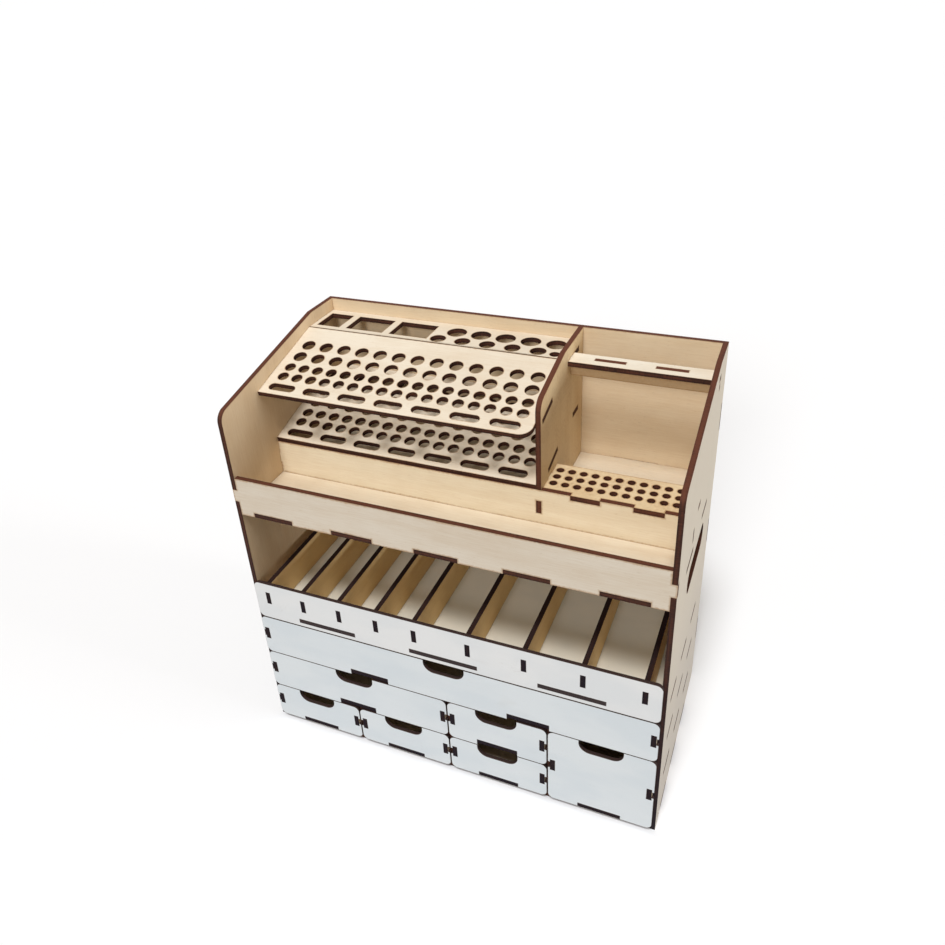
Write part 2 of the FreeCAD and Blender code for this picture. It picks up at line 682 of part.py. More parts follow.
def tool_plate(node, level):
    """A tilted plate with a row of long slots and four rows of round holes.

    Both plates share the hole pattern, whose rows are spread over the length of the lower plate.
    """
    y, z = plate_corner(level)
    length = plate_length(level)
    plate = Board(node, (f"-{HALF}", y, z), tilted=True)
    plate.add(("0", "0", "0"), (RACK_WIDTH, length, "ply"))
    if level == 1:
        right = value(RACK_WIDTH)
        plate.round_edges("plate_corner_radius",
                          lambda box: along(box, "Z") and box.YMax < NEAR and box.XMin > right - NEAR)
    for x in ("-ply", RACK_WIDTH):
        plate.add((x, "plate_tab_place - plate_tab_length / 2", "0"), ("ply", "plate_tab_length", "ply"))
    slot = plate.cut_long_slot("XY_Plane", ("long_slot_left_margin", "first_row_margin"),
                               "long_slot_length", "long_slot_width")
    slot_span = f"({RACK_WIDTH} - long_slot_left_margin - long_slot_right_margin)"
    plate.repeat(slot, "X", f"{slot_span} / {LONG_SLOTS - 1}", LONG_SLOTS)
    row_span = f"({plate_length(0)} - first_row_margin - last_row_margin)"
    for kind, rows, count in (("small_hole", SMALL_HOLE_ROWS, SMALL_HOLES),
                              ("large_hole", LARGE_HOLE_ROWS, LARGE_HOLES)):
        pitch = f"({RACK_WIDTH} - 2 * {kind}_margin) / {count - 1}"
        for share in rows:
            place = (f"{kind}_margin", f"first_row_margin + {share} * {row_span}", "0")
            hole = plate.drill(place, kind, "ply")
            plate.repeat(hole, "X", pitch, count)


def file_strip(node, level):
    """A level strip behind a tool plate, with windows, two rows of round holes and a small end hole."""
    strip = Board(node, (f"-{HALF}", STRIP, strip_level(level)))
    strip.add(("0", "0", "0"), (RACK_WIDTH, STRIP_DEPTH, "ply"))
    for x in ("-ply", RACK_WIDTH):
        strip.add((x, f"({STRIP_DEPTH} - strip_tab_length) / 2", "0"), ("ply", "strip_tab_length", "ply"))
    start = "window_start_share"
    for share in ("narrow_window_share", "wide_window_share", "wide_window_share"):
        strip.cut((f"{start} * {RACK_WIDTH}", "window_row", "0"),
                  (f"{share} * {RACK_WIDTH}", "window_depth", "ply"))
        start = f"({start} + {share} + window_bar_share)"
    first = f"(1 - round_margin_share - {ROUND_HOLES - 1} * round_pitch_share)"
    pitch = f"round_pitch_share * {RACK_WIDTH}"
    hole = strip.drill((f"{first} * {RACK_WIDTH}", "back_round_row", "0"), "back_round", "ply")
    strip.repeat(hole, "X", pitch, ROUND_HOLES)
    front_first = f"({first} - front_round_shift_share) * {RACK_WIDTH}"
    hole = strip.drill((front_first, "front_round_row", "0"), "front_round", "ply")
    strip.repeat(hole, "X", pitch, ROUND_HOLES)
    strip.drill((f"{RACK_WIDTH} - end_round_margin", "end_round_row", "0"), "end_round", "ply")


def bit_shelf():
    """Shelf of the right compartment, level with the riser's top, with a grid of bit holes."""
    shelf = Board("bit_shelf", (RACK_RIGHT, RISER, f"{RISER_TOP} - ply"))
    shelf.add(("0", "ply", "0"), ("compartment_width", "bit_shelf_depth - ply", "ply"))
    tab = shelf.add(("bit_tab_start", "0", "0"), ("bit_tab_length", "ply", "ply"))
    shelf.repeat(tab, "X", "bit_tab_pitch", 2)
    for x in ("-ply", "compartment_width"):
        shelf.add((x, "bit_end_tab_place - bit_end_tab / 2", "0"), ("ply", "bit_end_tab", "ply"))
    for row in range(BIT_ROWS):
        place = ("bit_hole_margin", f"bit_hole_row + {row} * bit_hole_pitch", "0")
        hole = shelf.drill(place, "bit_hole", "ply")
        shelf.repeat(hole, "X", "bit_hole_pitch", BIT_HOLES)


def pliers_bar():
    """Bar that pliers straddle, and the upright rib that stiffens it from below."""
    bar = Board("pliers_bar", (RACK_RIGHT, PLIERS_BAR, PLIERS_BAR_LEVEL))
    bar.add(("0", "0", "0"), ("compartment_width", "bar_width", "ply"))
    rib = Board("pliers_bar_rib", (RACK_RIGHT, RIB, f"{PLIERS_BAR_LEVEL} - rib_height"))
    rib.add(("0", "0", "0"), ("compartment_width", "ply", "rib_height"))
    for x in ("-ply", "compartment_width"):
        bar.add((x, "(bar_width - bar_end_tab) / 2", "0"), ("ply", "bar_end_tab", "ply"))
        rib.add((x, "0", "(rib_height - rib_end_tab) / 2"), ("ply", "ply", "rib_end_tab"))
    for middle in tab_middles(2, "compartment_width", "rib_tab_pitch"):
        tab = f"{middle} - rib_tab_length / 2"
        rib.add((tab, "0", "rib_height"), ("rib_tab_length", "ply", "ply"))
        bar.cut((f"{tab} - slot_clearance", "rib_setback - slot_clearance", "0"),
                ("rib_tab_length + 2 * slot_clearance", "ply + 2 * slot_clearance", "ply"))


left_panel()
right_panel()
back_panel = carcass()
bottle_tray()
tool_tray(back_panel)
rack_divider()
tool_plate("lower_tool_plate", 0)
tool_plate("upper_tool_plate", 1)
file_strip("lower_file_strip", 0)
file_strip("upper_file_strip", 1)
bit_shelf()
pliers_bar()
drawer("top_drawer", (0, 3), (2, 2), 2)
drawer("wide_drawer", (0, 1), (1, 1), 1)
drawer("corner_drawer", (0, 0), (0, 0), 1)
drawer("second_drawer", (1, 1), (0, 0), 1)
drawer("middle_upper_drawer", (2, 2), (1, 1), 1)
drawer("middle_lower_drawer", (2, 2), (0, 0), 1)
drawer("tall_drawer", (3, 3), (0, 1), 1)
doc.recompute()

for item in doc.Objects:
    if "Invalid" in item.State or "Error" in item.State:
        raise RuntimeError(f"{item.Label} failed: {item.State}")
for board in boards:
    if board.Shape.isNull() or not board.Shape.isValid():
        raise RuntimeError(f"{board.Label} has no valid shape")

os.makedirs("parts", exist_ok=True)
for board in boards:
    board.Shape.exportStep(f"parts/{board.Label}.step")
print(f"{len(boards)} boards written")
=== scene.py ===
import json
import math

import bmesh
import bpy
from bpy.props import FloatProperty, FloatVectorProperty, PointerProperty
from mathutils import Matrix, Vector


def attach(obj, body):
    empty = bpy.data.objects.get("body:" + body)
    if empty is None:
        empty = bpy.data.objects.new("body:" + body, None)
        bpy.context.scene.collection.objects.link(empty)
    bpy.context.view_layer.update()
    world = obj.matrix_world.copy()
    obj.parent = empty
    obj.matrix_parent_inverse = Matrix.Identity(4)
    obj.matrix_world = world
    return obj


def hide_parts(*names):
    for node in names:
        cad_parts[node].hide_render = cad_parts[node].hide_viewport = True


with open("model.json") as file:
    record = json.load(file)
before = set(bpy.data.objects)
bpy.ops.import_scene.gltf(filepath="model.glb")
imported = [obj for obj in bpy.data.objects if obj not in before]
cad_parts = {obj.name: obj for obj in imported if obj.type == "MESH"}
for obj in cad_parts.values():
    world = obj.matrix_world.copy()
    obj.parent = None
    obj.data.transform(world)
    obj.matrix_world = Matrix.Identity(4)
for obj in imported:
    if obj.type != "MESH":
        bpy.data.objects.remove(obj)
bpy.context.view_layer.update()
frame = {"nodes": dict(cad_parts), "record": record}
BODY_OF = {node: body
           for body, nodes in frame["record"]["behaviour"]["bodies"].items() for node in nodes}

bl_info = {
    "name": "Tool organiser",
    "version": (1, 0, 0),
    "blender": (4, 5, 0),
    "location": "3D View > Sidebar > Organiser",
    "description": "Finishes the boards of a table-top tool organiser of laser-cut plywood",
    "category": "Object",
}

# Directions of a board: along its grain and out of its upper or outer face
X, Y, Z = Matrix.Identity(3)
DRAWERS = ("top_drawer", "wide_drawer", "corner_drawer", "second_drawer",
           "middle_upper_drawer", "middle_lower_drawer", "tall_drawer")
BOTTLE_DIVIDERS = 7

# Corners of a solid that are this close are one corner, in metres
WELD_DISTANCE = 2e-6
# Faces that turn by less than the first angle are one face; by less than the second, they shade as one
FLAT_ANGLE = math.radians(0.5)
SMOOTH_ANGLE = math.radians(30)
# How closely the normal of a broad face follows the board's outward direction
BROAD_FACE = 0.99
# Shift of the grain from one board to the next, in metres
GRAIN_STEP = 0.61
# Depth of the relief of the grain and the cuts, in metres
RELIEF = 0.0002
# How far the outer faces of the sides are greyed, as painted cool light, and the height where their
# painted shade near the base stops, in metres
PAINTED_OUTSIDE_SHARE = 0.85
SHADE_LEVEL = 0.27
# How much smoke the boards with the golden tints have seen; these tints are partly painted shade
SMOKE = 0.3
# Scorch of the tray front and of the riser, in widths of the usual one
WIDE_RIM = 2

# Tints that set the boards of a material apart from the plain veneer or laminate; several of them paint
# light or shade
UNTINTED = (1.0, 1.0, 1.0)
TINTS = {
    # Painted shade: this more golden tint stands for the warm shade on the inner faces of the sides
    "side_panel_birch": (0.94, 0.84, 0.73),
    # Partly the back panel's own golden tone, partly painted shade for its shaded inner face
    "case_birch": (0.98, 0.91, 0.81),
    "white_bottle_front": (1.09, 1.04, 1.01),
    # Painted shade: the warmer, darker tint stands for the warm shade over the bottle floor under the
    # tray
    "white_bottle_floor": (1.04, 0.92, 0.75),
    # Painted shade: the golden, brighter tint stands for the warm bounced light on the shaded dividers
    "bottle_board_birch": (1.18, 1.0, 0.67),
    "tray_front_birch": (0.99, 1.01, 1.08),
    # Painted light: the riser is brightened for the full light on it
    "rack_riser_birch": (1.08, 1.08, 1.04),
    # Painted light: the plates and strips are paler and cooler for the full light on them
    "rack_birch": (0.99, 1.01, 1.06),
    # Partly the boards' own golden tone, partly painted shade for the shaded face of the rack divider
    "smoked_and_shaded_birch": (0.98, 0.90, 0.74),
    # Painted light: the pliers bar is paler for the full light on its top
    "pliers_bar_lit_birch": (1.08, 1.14, 1.24),
    # Painted shade: the rib is darker and browner for the shade under the pliers bar
    "pliers_rib_shaded_birch": (0.76, 0.62, 0.46),
}

# Camera: its place in metres, the directions of its picture, the picture's shift and the sensor in mm
CAMERA_PLACE = (0.22481, -0.51145, 0.61585)
CAMERA_RIGHT = (0.92826, 0.36970, -0.04062)
CAMERA_UP = (-0.14793, 0.46721, 0.87168)
CAMERA_BACK = (0.34124, -0.80314, 0.48838)
CAMERA_SHIFT = (-0.01177, -0.0605)
SENSOR_WIDTH = 36.0


def colour(name, description, default):
    return FloatVectorProperty(name=name, description=description, default=default,
                               subtype="COLOR", size=3, min=0.0, max=1.0)


class PlywoodFinish(bpy.types.PropertyGroup):
    """Colours of raw birch plywood and of its laser-cut edges."""
    pale: colour("Pale grain", "Lightest tone of the birch veneer", (0.775, 0.685, 0.545))
    warm: colour("Warm grain", "Darker bands of the birch veneer", (0.70, 0.585, 0.435))
    fleck: colour("Flecks", "Short dark fibres in the veneer", (0.50, 0.36, 0.22))
    # Painted light: the greyer tone stands in for the cooler light that falls on the outer faces of the
    # sides
    grey: colour("Outside veneer", "Greyer tone of the outer faces of the sides", (0.705, 0.645, 0.55))
    # Painted shade: the outer faces of the sides darken towards the base
    shaded_low: colour("Shaded low veneer", "Tone of the outer faces of the sides near the base",
                  (0.545, 0.51, 0.475))
    halo: colour("Scorch", "Brown rim that the cut leaves on the veneer", (0.42, 0.25, 0.12))
    burnt: colour("Burnt edge", "Darkest tone of a cut edge", (0.030, 0.015, 0.012))
    ember: colour("Burnt plies", "Redder tone of the plies in a cut edge", (0.11, 0.037, 0.021))
    # Painted shade and cool light: this bluish black char stands for the shade and cool light on the tab
    # ends and on the cuts near the base
    soot_and_cool_shade: colour("Soot and cool shade", "Tone of the blacker cuts behind the white fronts and near the base",
                 (0.012, 0.011, 0.018))
    rim: FloatProperty(name="Scorch width", description="How far the scorch reaches from a cut",
                       default=0.0011, unit="LENGTH", min=0.0001, max=0.002)


class WhiteBoardFinish(bpy.types.PropertyGroup):
    """Colours of the white laminated board."""
    white: colour("White", "Tone of the clean laminate", (0.76, 0.81, 0.85))
    cool: colour("Cool white", "Slightly darker clouds in the laminate", (0.71, 0.77, 0.82))
    smudge: colour("Smudges", "Dust and finger marks", (0.60, 0.59, 0.57))
    halo: colour("Scorch", "Brown rim that the cut leaves on the laminate", (0.40, 0.34, 0.30))
    burnt: colour("Burnt edge", "Darkest tone of a cut edge", (0.014, 0.008, 0.009))
    ember: colour("Burnt core", "Lighter tone of the core in a cut edge", (0.035, 0.017, 0.014))
    rim: FloatProperty(name="Scorch width", description="How far the scorch reaches from a cut",
                       default=0.0004, unit="LENGTH", min=0.0001, max=0.002)


class Studio(bpy.types.PropertyGroup):
    """Light and floor of the studio."""
    floor: colour("Floor", "Colour of the floor", (0.90, 0.92, 0.96))
    floor_bounce: colour("Floor bounce", "Colour of the floor in the light that it sends back",
                         (0.30, 0.305, 0.31))
    sky: FloatProperty(name="Sky", description="Strength of the even light from all round",
                       default=0.34, min=0.0, max=5.0)
    sky_tint: colour("Sky tint", "Warmth of the even light from all round", (1.0, 0.90, 0.76))
    key: FloatProperty(name="Key light", description="Strength of the high soft light from the front",
                       default=2.05, min=0.0, max=20.0)
    front: FloatProperty(name="Front light", description="Strength of the low soft light from the front",
                         default=0.96, min=0.0, max=20.0)
    fill: FloatProperty(name="Fill light", description="Strength of the low soft light from the right",
                        default=1.3, min=0.0, max=20.0)
    focal_length: FloatProperty(name="Focal length", description="Focal length of the camera, in mm",
                                default=31.56, min=1.0, max=500.0)


def put(tree, kind, inputs=None, **settings):
    """Add a node to a tree, give it its settings, and fill or link its inputs."""
    made = tree.nodes.new(kind)
    made.location = (220 * len(tree.nodes), 0)
    for name, setting in settings.items():
        setattr(made, name, setting)
    for name, source in (inputs or {}).items():
        if isinstance(source, bpy.types.NodeSocket):
            tree.links.new(source, made.inputs[name])
        else:
            made.inputs[name].default_value = source
    return made


def combine(tree, first, second, operation="ADD"):
    """Add two values, or join them by another operation."""
    return put(tree, "ShaderNodeMath", {0: first, 1: second}, operation=operation).outputs[0]


def scaled(tree, source, share):
    return combine(tree, source, share, "MULTIPLY")


def between(tree, mask, low, high):
    """A value that goes from the low to the high one as the mask goes from 0 to 1."""
    return put(tree, "ShaderNodeMapRange", {"Value": mask, "To Min": low, "To Max": high}).outputs[0]


def z_part(tree, vector):
    return put(tree, "ShaderNodeSeparateXYZ", {0: vector}).outputs[2]


def ease(tree, source, low, high):
    """A mask that rises smoothly from 0 at the low value to 1 at the high one."""
    return put(tree, "ShaderNodeMapRange", {"Value": source, "From Min": low, "From Max": high},
               interpolation_type="SMOOTHSTEP").outputs[0]


def blend(tree, mask, first, second):
    """Mix two colours by a mask."""
    return put(tree, "ShaderNodeMix", {0: mask, 6: first, 7: second}, data_type="RGBA").outputs[2]


def noise(tree, place, stretch, detail=2.0, distortion=0.0):
    """Noise whose grain size is set by how much each direction of the board is stretched."""
    spread = put(tree, "ShaderNodeVectorMath", {0: place, 1: stretch}, operation="MULTIPLY")
    cloud = put(tree, "ShaderNodeTexNoise", {"Vector": spread.outputs[0], "Scale": 1.0,
                                             "Detail": detail, "Distortion": distortion})
    return cloud.outputs[0]


def group(name, inputs, outputs):
    """A shader node group with named sockets, built once."""
    tree = bpy.data.node_groups.new(name, "ShaderNodeTree")
    for direction, sockets in (("INPUT", inputs), ("OUTPUT", outputs)):
        for socket, kind in sockets.items():
            tree.interface.new_socket(socket, in_out=direction, socket_type=f"NodeSocket{kind}")
    return tree, put(tree, "NodeGroupInput").outputs


def close_group(tree, results):
    put(tree, "NodeGroupOutput", results)
    return tree


def birch_veneer():
    """Fine birch grain: broad bands, fibres and short dark flecks along the board."""
    tree, given = group("Birch veneer",
                        {"Place": "Vector", "Pale": "Color", "Warm": "Color", "Fleck": "Color"},
                        {"Color": "Color", "Height": "Float"})
    place = given["Place"]
    bands = noise(tree, place, stretch=(5, 50, 2), detail=3.0, distortion=0.7)
    fibres = noise(tree, place, stretch=(50, 1000, 3), detail=4.0)
    mottle = noise(tree, place, stretch=(28, 45, 2), detail=3.0)
    tone = combine(tree, scaled(tree, bands, share=0.38), scaled(tree, fibres, share=0.34))
    tone = combine(tree, tone, scaled(tree, mottle, share=0.28))
    veneer = blend(tree, ease(tree, tone, low=0.36, high=0.66), given["Pale"], given["Warm"])
    specks = noise(tree, place, stretch=(210, 2300, 3), detail=1.0)
    flecks = ease(tree, specks, low=0.64, high=0.80)
    veneer = blend(tree, scaled(tree, flecks, share=0.45), veneer, given["Fleck"])
    height = combine(tree, fibres, flecks, "SUBTRACT")
    return close_group(tree, {"Color": veneer, "Height": height})


def laser_char():
    """Scorched rim beside a cut, and the burnt cut, redder in its plies, and redder where it faces up as
    painted light from above.
    """
    tree, given = group("Laser char",
                        {"Clean": "Color", "Place": "Vector", "Scorch": "Float", "Smoke": "Float",
                         "Halo": "Color", "Burnt": "Color", "Ember": "Color"},
                        {"Color": "Color", "Char": "Float", "Height": "Float"})
    place = given["Place"]
    scorch = given["Scorch"]
    smoke = given["Smoke"]
    crumbs = noise(tree, place, stretch=(420, 420, 4))
    patches = noise(tree, place, stretch=(38, 38, 2))
    ragged = combine(tree, crumbs, patches)
    stain = combine(tree, combine(tree, scorch, smoke), scaled(tree, ragged, share=0.9))
    rim = ease(tree, stain, low=1.05, high=2.05)
    char = ease(tree, scorch, low=0.96, high=1.0)
    layer = z_part(tree, place)
    lower, upper = ease(tree, layer, low=0.26, high=0.36), ease(tree, layer, low=0.64, high=0.74)
    core = combine(tree, lower, upper, "SUBTRACT")
    streaks = noise(tree, place, stretch=(1300, 1300, 0.7), detail=3.0)
    clouds = noise(tree, place, stretch=(45, 45, 2))
    normal = put(tree, "ShaderNodeTexCoord").outputs["Normal"]
    # Painted light: cuts that face up turn redder, as if lit from above
    upward = ease(tree, z_part(tree, normal), low=0.1, high=0.9)
    glow = combine(tree, combine(tree, streaks, clouds), scaled(tree, core, share=0.2))
    glow = combine(tree, combine(tree, glow, smoke), scaled(tree, upward, share=0.4))
    cut = blend(tree, ease(tree, glow, low=0.70, high=1.75), given["Burnt"], given["Ember"])
    rimmed = blend(tree, scaled(tree, rim, share=0.8), given["Clean"], given["Halo"])
    height = combine(tree, streaks, char, "MULTIPLY")
    return close_group(tree, {"Color": blend(tree, char, rimmed, cut), "Char": char, "Height": height})


def white_laminate():
    """Smooth white laminate with faint clouds, smudges and dust."""
    tree, given = group("White laminate",
                        {"Place": "Vector", "White": "Color", "Cool": "Color", "Smudge": "Color"},
                        {"Color": "Color", "Smear": "Float"})
    place = given["Place"]
    clouds = noise(tree, place, stretch=(14, 30, 1), detail=3.0)
    board = blend(tree, ease(tree, clouds, low=0.38, high=0.66), given["White"], given["Cool"])
    wipes = noise(tree, place, stretch=(22, 60, 1), detail=4.0, distortion=1.2)
    smear = ease(tree, wipes, low=0.60, high=0.85)
    grains = noise(tree, place, stretch=(900, 900, 1), detail=1.0)
    dust = ease(tree, grains, low=0.70, high=0.82)
    marks = combine(tree, scaled(tree, smear, share=0.16), scaled(tree, dust, share=0.22))
    return close_group(tree, {"Color": blend(tree, marks, board, given["Smudge"]), "Smear": smear})


def shared_group(name, build):
    return bpy.data.node_groups.get(name) or build()


def start_material(name):
    """A new material, its empty tree, and the board's own places and scorch as sockets."""
    material = bpy.data.materials.new(name)
    material.use_nodes = True
    tree = material.node_tree
    tree.nodes.clear()
    place = put(tree, "ShaderNodeAttribute", attribute_name="grain").outputs["Vector"]
    scorch = put(tree, "ShaderNodeAttribute", attribute_name="scorch").outputs["Fac"]
    return material, tree, place, scorch


def tinted(shade, tint=UNTINTED):
    """A shade times a tint, as an opaque colour."""
    return (*[channel * share for channel, share in zip(shade, tint)], 1)


def char_node(tree, halo, burnt, ember, clean, place, scorch, smoke=0.0):
    """The laser char over a clean colour, with the tones of its scorch and of its burnt cut."""
    return put(tree, "ShaderNodeGroup",
               {"Clean": clean, "Place": place, "Scorch": scorch, "Smoke": smoke,
                "Halo": halo, "Burnt": burnt, "Ember": ember},
               node_tree=shared_group("Laser char", laser_char))


def finish_shader(tree, colour_socket, roughness, height, gloss):
    """The surface shader, its relief and the material's output."""
    bump = put(tree, "ShaderNodeBump", {"Height": height, "Strength": 0.5, "Distance": RELIEF})
    shader = put(tree, "ShaderNodeBsdfPrincipled",
                 {"Base Color": colour_socket, "Roughness": roughness, "Specular IOR Level": gloss,
                  "Normal": bump.outputs[0]})
    put(tree, "ShaderNodeOutputMaterial", {"Surface": shader.outputs[0]})


def birch_material(name, finish, outside=0.0, smoke=0.0, char_in_cool_shade=False):
    """Raw birch plywood, in the tint of the material's name; several of the tints paint light or shade.

    Outside greys the outer face, as painted cool light, and darkens it and blackens its cuts towards the
    base, as painted shade.
    Smoke widens the scorch beside the cuts and reddens the cuts. Shaded cuts take the blackest, bluish
    char, as painted shade and cool light, and shine less.
    """
    ready = bpy.data.materials.get(name)
    if ready:
        return ready
    material, tree, place, scorch = start_material(name)
    tint = TINTS.get(name, UNTINTED)
    pale, warm, fleck = (tinted(shade, tint) for shade in (finish.pale, finish.warm, finish.fleck))
    veneer = put(tree, "ShaderNodeGroup", {"Place": place, "Pale": pale, "Warm": warm, "Fleck": fleck},
                 node_tree=shared_group("Birch veneer", birch_veneer))
    clean = veneer.outputs["Color"]
    soot_and_cool_shade, burnt, ember = tinted(finish.soot_and_cool_shade), tinted(finish.burnt), tinted(finish.ember)
    # Painted shade and cool light: these cuts take the blackest, bluish char
    if char_in_cool_shade:
        burnt, ember = soot_and_cool_shade, burnt
    # Painted light and shade: the outer face is greyer for the cool light on it, and darker towards the
    # base
    if outside:
        outer = z_part(tree, place)
        spot = put(tree, "ShaderNodeTexCoord").outputs["Object"]
        # Painted shade: below this height the outer face darkens and its cuts turn blacker
        level = ease(tree, z_part(tree, spot), low=0.0, high=SHADE_LEVEL)
        outer_light_and_shade = blend(tree, level, tinted(finish.shaded_low), tinted(finish.grey))
        clean = blend(tree, scaled(tree, outer, share=outside), clean, outer_light_and_shade)
        burnt, ember = blend(tree, level, soot_and_cool_shade, burnt), blend(tree, level, burnt, ember)
    char = char_node(tree, tinted(finish.halo), burnt, ember, clean, place, scorch, smoke)
    height = combine(tree, veneer.outputs["Height"], char.outputs["Height"])
    roughness = between(tree, char.outputs["Char"], low=0.52, high=0.72)
    finish_shader(tree, char.outputs["Color"], roughness, height, gloss=0.05 if char_in_cool_shade else 0.12)
    return material


def white_material(name, finish):
    """White laminated board with burnt edges, in the tint of the material's name."""
    ready = bpy.data.materials.get(name)
    if ready:
        return ready
    material, tree, place, scorch = start_material(name)
    tint = TINTS.get(name, UNTINTED)
    white, cool, smudge = (tinted(shade, tint) for shade in (finish.white, finish.cool, finish.smudge))
    laminate = put(tree, "ShaderNodeGroup",
                   {"Place": place, "White": white, "Cool": cool, "Smudge": smudge},
                   node_tree=shared_group("White laminate", white_laminate))
    char = char_node(tree, tinted(finish.halo), tinted(finish.burnt), tinted(finish.ember),
                     laminate.outputs["Color"], place, scorch)
    smeared = scaled(tree, laminate.outputs["Smear"], share=0.15)
    worn = combine(tree, smeared, char.outputs["Char"], "MAXIMUM")
    roughness = between(tree, worn, low=0.40, high=0.70)
    finish_shader(tree, char.outputs["Color"], roughness, char.outputs["Height"], gloss=0.3)
    return material


def weld_board(node):
    """Copy a board's solid, join its loose triangles and open it for shaping."""
    board = bpy.data.objects.new(f"{node}_board", frame["nodes"][node].data.copy())
    bpy.context.scene.collection.objects.link(board)
    bpy.ops.object.select_all(action="DESELECT")
    board.select_set(True)
    bpy.context.view_layer.objects.active = board
    bpy.ops.object.mode_set(mode="EDIT")
    bpy.ops.mesh.select_mode(type="FACE")
    bpy.ops.mesh.select_all(action="SELECT")
    bpy.ops.mesh.remove_doubles(threshold=WELD_DISTANCE)
    bpy.ops.mesh.customdata_custom_splitnormals_clear()
    bpy.ops.mesh.dissolve_limited(angle_limit=FLAT_ANGLE)
    return board


def scorch_rim(board, outward, width):
    """Inset the broad faces, so that a rim of the given width runs along every cut, and mark it."""
    bpy.ops.mesh.select_all(action="DESELECT")
    shape = bmesh.from_edit_mesh(board.data)
    for face in shape.faces:
        face.select_set(abs(face.normal.dot(outward)) > BROAD_FACE)
    bmesh.update_edit_mesh(board.data)
    bpy.ops.mesh.inset(thickness=width, use_boundary=True, use_even_offset=True)
    bpy.ops.object.mode_set(mode="OBJECT")
    clean = {corner for face in board.data.polygons if face.select for corner in face.vertices}
    if not clean:
        raise RuntimeError(f"{board.name} has no broad face")
    scorch = board.data.attributes.new("scorch", "FLOAT", "POINT")
    for index, point in enumerate(scorch.data):
        point.value = 0.0 if index in clean else 1.0


def lay_grain(board, along, outward, shift):
    """Keep each corner's place in the board: along the grain, across it and through the plies."""
    across = outward.cross(along)
    outer = {corner for face in board.data.polygons if face.normal.dot(outward) > BROAD_FACE
             for corner in face.vertices}
    grain = board.data.attributes.new("grain", "FLOAT_VECTOR", "POINT")
    for corner, point in zip(board.data.vertices, grain.data):
        layer = 1.0 if corner.index in outer else 0.0
        point.vector = (corner.co.dot(along) + shift, corner.co.dot(across) + shift, layer)


def finish_board(node, along, outward, material, rim):
    """Make the finished board that stands for one CAD node."""
    board = weld_board(node)
    scorch_rim(board, outward, rim)
    lay_grain(board, along, outward, GRAIN_STEP * sorted(BODY_OF).index(node))
    bpy.ops.object.shade_smooth_by_angle(angle=SMOOTH_ANGLE)
    board.data.materials.clear()
    board.data.materials.append(material)
    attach(board, BODY_OF[node])
    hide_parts(node)


class ORGANISER_OT_side_panels(bpy.types.Operator):
    """Finish the two side panels, whose outer faces are painted greyer for cool light and darker towards
    the base for shade
    """
    bl_idname = "organiser.side_panels"
    bl_label = "Side panels"

    def execute(self, context):
        finish = context.scene.organiser_plywood
        material = birch_material("side_panel_birch", finish, outside=PAINTED_OUTSIDE_SHARE)
        finish_board("left_side_panel", Z, -X, material, finish.rim)
        finish_board("right_side_panel", Z, X, material, finish.rim)
        return {"FINISHED"}


class ORGANISER_OT_drawer_case(bpy.types.Operator):
    """Finish the back, the base, the shelves and the partitions of the drawer case"""
    bl_idname = "organiser.drawer_case"
    bl_label = "Drawer case"

    def execute(self, context):
        finish = context.scene.organiser_plywood
        material = birch_material("case_birch", finish)
        finish_board("back_panel", X, Y, material, finish.rim)
        for node in ("base_panel", "upper_drawer_shelf", "drawer_case_top",
                     "left_drawer_shelf", "middle_drawer_shelf"):
            finish_board(node, X, Z, material, finish.rim)
        for node in ("left_partition", "middle_partition", "right_partition"):
            finish_board(node, Y, X, material, finish.rim)
        return {"FINISHED"}


class ORGANISER_OT_drawer_fronts(bpy.types.Operator):
    """Finish the white fronts of the seven drawers"""
    bl_idname = "organiser.drawer_fronts"
    bl_label = "Drawer fronts"

    def execute(self, context):
        finish = context.scene.organiser_white_board
        material = white_material("white_front", finish)
        for drawer in DRAWERS:
            finish_board(f"{drawer}_front", X, -Y, material, finish.rim)
        return {"FINISHED"}


class ORGANISER_OT_drawer_boxes(bpy.types.Operator):
    """Finish the floors, sides and backs of the seven drawers"""
    bl_idname = "organiser.drawer_boxes"
    bl_label = "Drawer boxes"

    def execute(self, context):
        finish = context.scene.organiser_plywood
        # Painted shade and cool light: the drawer boxes' cuts, seen as tab ends in the white fronts,
        # take the blackest, bluish char
        material = birch_material("drawer_box_birch", finish, char_in_cool_shade=True)
        for drawer in DRAWERS:
            finish_board(f"{drawer}_floor", X, Z, material, finish.rim)
            finish_board(f"{drawer}_sides", Y, X, material, finish.rim)
            finish_board(f"{drawer}_back", X, Y, material, finish.rim)
        return {"FINISHED"}


class ORGANISER_OT_bottle_tray(bpy.types.Operator):
    """Finish the bottle tray: white front and floor, plywood ends and dividers"""
    bl_idname = "organiser.bottle_tray"
    bl_label = "Bottle tray"

    def execute(self, context):
        finish = context.scene.organiser_plywood
        white_board = context.scene.organiser_white_board
        white = white_material("white_bottle_front", white_board)
        finish_board("bottle_front", X, -Y, white, white_board.rim)
        # Painted shade: the bottle floor's warmer, darker tint stands for the shade under the tool tray
        shaded_white = white_material("white_bottle_floor", white_board)
        finish_board("bottle_floor", X, Z, shaded_white, white_board.rim)
        material = birch_material("bottle_board_birch", finish, char_in_cool_shade=True)
        # Painted shade: golden, brighter boards for the shaded bottle bays
        finish_board("bottle_tray_ends", Y, X, material, finish.rim)
        for number in range(BOTTLE_DIVIDERS):
            finish_board(f"bottle_divider_{number + 1}", Y, X, material, finish.rim)
        return {"FINISHED"}


